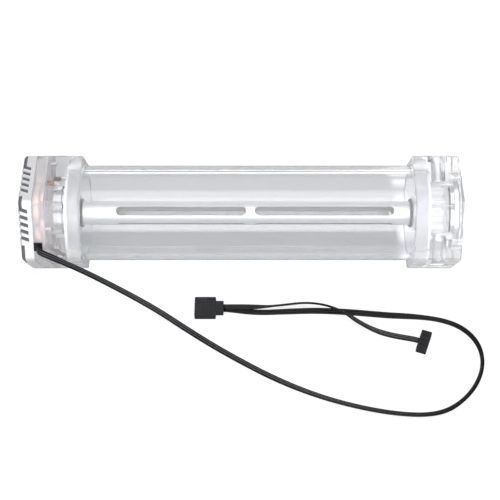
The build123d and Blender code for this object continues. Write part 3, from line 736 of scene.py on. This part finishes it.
def makeRing(name, node, diameter, body="reservoir"):
    x = middleOf(node)[0]
    thick = rings["thick"]
    turns = rings["turns"]
    rows = rings["rows"]
    verts, faces = [], []
    for i in range(turns):
        e = 360 * i / turns
        for k in range(rows):
            a = 2 * pi * k / rows
            verts.append(atElevation(x + thick / 2 * sin(a), diameter / 2 + thick / 2 * cos(a), e))
    for i in range(turns):
        i2 = (i + 1) % turns
        for k in range(rows):
            k2 = (k + 1) % rows
            faces.append((i * rows + k, i * rows + k2, i2 * rows + k2, i2 * rows + k))
    ring = newPiece(name, verts, faces, nitrile, smooth=True, body=body)
    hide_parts(node)


makeVentShade()
makeRing("lampGlandRing", "lamp_gland_seal", rings["glandDiameter"])
makeRing("portGlandRing", "port_gland_seal", rings["glandDiameter"])
makeRing("plugRing", "fill_plug_seal", rings["plugDiameter"], body="plug")
print("cover felt and seals ready")

# Floor: wide pale sheet that reads as the photograph's white ground and keeps a faint contact shadow. How
# bright it looks is set for each kind of ray: what the camera meets, what gloss and metal mirror, what the
# acrylic shows of it, and the fill that it gives everything else. Sizes are metres, but for floorPatch
studio = {
    "floorSize": 6.0,
    "floorDrop": 0.0001,  # keeps the sheet just clear of the part
    "floorColour": "#FFFFFF",
    "floorAlbedo": 0.30,
    "floorPatch": 333.0,
    "floorPatchDetail": 2.0,
    "floorPatchShade": 0.99,
    "floorCamera": 0.78,
    "floorFill": 0.20,
    "floorGloss": 0.20,
    "floorThrough": 0.40,
    "floorShade": 0.20,  # painted shadow: how much less of it shows through straight under the tube
    "shadeReach": 0.040,
    "floorEnds": 0.76,  # painted light past the port end, so that the block there looks brighter
    "endsFrom": (0.100, 0.106),
    "stripe": 0.30,
    "stripePitch": 0.030,
    "bandY": 0.026,  # middle of the band of painted shadow that the tube's slots look down to
    "bandFull": 0.006,
    "bandClear": 0.011,
    "bandHalf": 0.098,
    "bandShadeAlbedo": 0.6,
    "skyWhite": "#FFFFFF",
    "skyGrey": "#A0A0A0",
    "skyThrough": "#D6D6D6",
    "skyStrength": 1.0,
    "arcRadius": 1.0,
    "arc": [(5, 39), (39, 72), (72, 106)],
    "arcWidth": 0.75,
    "arcRadiance": 2.4,
    "backStrip": (171, 179),
    "backWidth": 1.5,
    "backRadiance": 2.2,
}


def outsideShadowBand(tree, place):
    # 0 in the band of painted shadow behind the tube and 1 outside it, with soft edges along its length
    across = addNode(tree, "ShaderNodeMath", {"operation": "SUBTRACT", 1: studio["bandY"]},
                     {0: place.outputs["Y"]})
    across = addNode(tree, "ShaderNodeMath", {"operation": "ABSOLUTE"}, {0: across.outputs[0]})
    beside = addNode(tree, "ShaderNodeMapRange", {"interpolation_type": "SMOOTHSTEP",
                                                  "From Min": studio["bandFull"],
                                                  "From Max": studio["bandClear"]},
                     {"Value": across.outputs[0]})
    within = addNode(tree, "ShaderNodeMath", {"operation": "COMPARE", 1: 0.0, 2: studio["bandHalf"]},
                     {0: place.outputs["X"]})
    beyond = addNode(tree, "ShaderNodeMath", {"operation": "SUBTRACT", 0: 1.0}, {1: within.outputs[0]})
    outside = addNode(tree, "ShaderNodeMath", {"operation": "MAXIMUM"},
                      {0: beside.outputs["Result"], 1: beyond.outputs[0]})
    return outside.outputs[0]


def lightThrough(tree, place, outside):
    # what the acrylic shows of the floor's light, with painted light and shade: a painted shadow under the
    # tube, none in the band, and past the port end more of it, in soft stripes of painted reflection that
    # stand for the dark and light room round a clear block
    across = addNode(tree, "ShaderNodeMath", {"operation": "ABSOLUTE"}, {0: place.outputs["Y"]})
    under = addNode(tree, "ShaderNodeMapRange", {"interpolation_type": "SMOOTHSTEP", "From Min": 0.0,
                                                 "From Max": studio["shadeReach"],
                                                 "To Min": studio["floorThrough"] - studio["floorShade"],
                                                 "To Max": studio["floorThrough"]},
                    {"Value": across.outputs[0]})
    under = addNode(tree, "ShaderNodeMath", {"operation": "MULTIPLY"},
                    {0: under.outputs["Result"], 1: outside})
    turns = addNode(tree, "ShaderNodeMath", {"operation": "MULTIPLY", 1: 2 * pi / studio["stripePitch"]},
                    {0: place.outputs["Y"]})
    wave = addNode(tree, "ShaderNodeMath", {"operation": "SINE"}, {0: turns.outputs[0]})
    stripes = addNode(tree, "ShaderNodeMath",
                      {"operation": "MULTIPLY_ADD", 1: studio["stripe"], 2: studio["floorEnds"]},
                      {0: wave.outputs[0]})
    low, high = studio["endsFrom"]
    ends = addNode(tree, "ShaderNodeMapRange",
                   {"interpolation_type": "SMOOTHSTEP", "From Min": low, "From Max": high},
                   {"Value": place.outputs["X"]})
    through = addNode(tree, "ShaderNodeMix", {"data_type": "FLOAT"},
                      {0: ends.outputs["Result"], 2: under.outputs[0], 3: stripes.outputs[0]})
    return through.outputs[0]


def makeSheet():
    material, tree, output = newMaterial("whiteSheet")
    source = addNode(tree, "ShaderNodeTexCoord").outputs["Object"]
    path = addNode(tree, "ShaderNodeLightPath")
    place = addNode(tree, "ShaderNodeSeparateXYZ", None, {0: source})
    outside = outsideShadowBand(tree, place)
    # the sheet's tone, with painted shadow in the band for what looks through the acrylic
    pale = studio["floorAlbedo"]
    worn = pale * studio["floorPatchShade"]
    dark = pale * studio["bandShadeAlbedo"]
    noise = addNode(tree, "ShaderNodeTexNoise",
                    {"Scale": perMetre(studio["floorPatch"]), "Detail": studio["floorPatchDetail"]},
                    {"Vector": source})
    tone = addNode(tree, "ShaderNodeMix",
                   {"data_type": "RGBA", 6: (pale, pale, pale, 1), 7: (worn, worn, worn, 1)},
                   {0: noise.outputs["Fac"]})
    inBand = addNode(tree, "ShaderNodeMath", {"operation": "SUBTRACT", 0: 1.0}, {1: outside})
    seen = addNode(tree, "ShaderNodeMath", {"operation": "MULTIPLY"},
                   {0: inBand.outputs[0], 1: path.outputs["Is Transmission Ray"]})
    tone = addNode(tree, "ShaderNodeMix", {"data_type": "RGBA", 7: (dark, dark, dark, 1)},
                   {0: seen.outputs[0], 6: tone.outputs[2]})
    cloth = addNode(tree, "ShaderNodeBsdfDiffuse", None, {"Color": tone.outputs[2]})
    # the light it adds, by the kind of ray
    glow = addNode(tree, "ShaderNodeMix",
                   {"data_type": "FLOAT", 2: studio["floorFill"], 3: studio["floorCamera"]},
                   {0: path.outputs["Is Camera Ray"]})
    glow = addNode(tree, "ShaderNodeMix", {"data_type": "FLOAT", 3: studio["floorGloss"]},
                   {0: path.outputs["Is Glossy Ray"], 2: glow.outputs[0]})
    glow = addNode(tree, "ShaderNodeMix", {"data_type": "FLOAT"},
                   {0: path.outputs["Is Transmission Ray"], 2: glow.outputs[0],
                    3: lightThrough(tree, place, outside)})
    light = addNode(tree, "ShaderNodeEmission", {"Color": hexColour(studio["floorColour"])},
                    {"Strength": glow.outputs[0]})
    both = addNode(tree, "ShaderNodeAddShader", None, {0: cloth.outputs[0], 1: light.outputs[0]})
    tree.links.new(both.outputs[0], output.inputs["Surface"])
    return material


def makeFloor():
    half = studio["floorSize"] / 2
    corners = [(-half, -half, 0), (half, -half, 0), (half, half, 0), (-half, half, 0)]
    mesh = bpy.data.meshes.new("floor")
    mesh.from_pydata(corners, [], [(0, 1, 2, 3)])
    floor = bpy.data.objects.new("floor", mesh)
    floor.location.z = -studio["floorDrop"]
    scene.collection.objects.link(floor)
    mesh.materials.append(makeSheet())


def makeWorld():
    # white to the camera, pale through acrylic, and grey to all else, so that only the lamps light the part
    world = bpy.data.worlds.new("studioRoom")
    scene.world = world
    world.use_nodes = True
    tree = world.node_tree
    tree.nodes.clear()
    strength = studio["skyStrength"]
    path = addNode(tree, "ShaderNodeLightPath")
    white = addNode(tree, "ShaderNodeBackground",
                    {"Color": hexColour(studio["skyWhite"]), "Strength": strength})
    room = addNode(tree, "ShaderNodeBackground",
                   {"Color": hexColour(studio["skyGrey"]), "Strength": strength})
    beyond = addNode(tree, "ShaderNodeBackground",
                     {"Color": hexColour(studio["skyThrough"]), "Strength": strength})
    mix = addNode(tree, "ShaderNodeMixShader", None,
                  {0: path.outputs["Is Transmission Ray"], 1: room.outputs[0], 2: beyond.outputs[0]})
    mix = addNode(tree, "ShaderNodeMixShader", None,
                  {0: path.outputs["Is Camera Ray"], 1: mix.outputs[0], 2: white.outputs[0]})
    addNode(tree, "ShaderNodeOutputWorld", None, {"Surface": mix.outputs[0]})


def makeSoftbox(name, low, high, width, radiance):
    # flat panel that fills the elevations from low to high, measured from the front, round the tube's axis
    middle = radians((low + high) / 2)
    height = 2 * studio["arcRadius"] * tan(radians((high - low) / 2))
    data = bpy.data.lights.new(name, "AREA")
    data.shape = "RECTANGLE"
    data.size = width
    data.size_y = height
    data.energy = radiance * pi * width * height
    lamp = bpy.data.objects.new(name, data)
    out = Vector((0, -cos(middle), sin(middle)))
    lamp.location = Vector((0, 0, axisHeight * mm)) + out * studio["arcRadius"]
    lamp.rotation_euler = (-out).to_track_quat("-Z", "Y").to_euler()
    scene.collection.objects.link(lamp)


makeFloor()
makeWorld()
for number, (low, high) in enumerate(studio["arc"]):
    makeSoftbox("arcSoftbox%d" % number, low, high, studio["arcWidth"], studio["arcRadiance"])
makeSoftbox("backStrip", *studio["backStrip"], studio["backWidth"], studio["backRadiance"])
scene.view_settings.view_transform = "Standard"
print("studio ready")
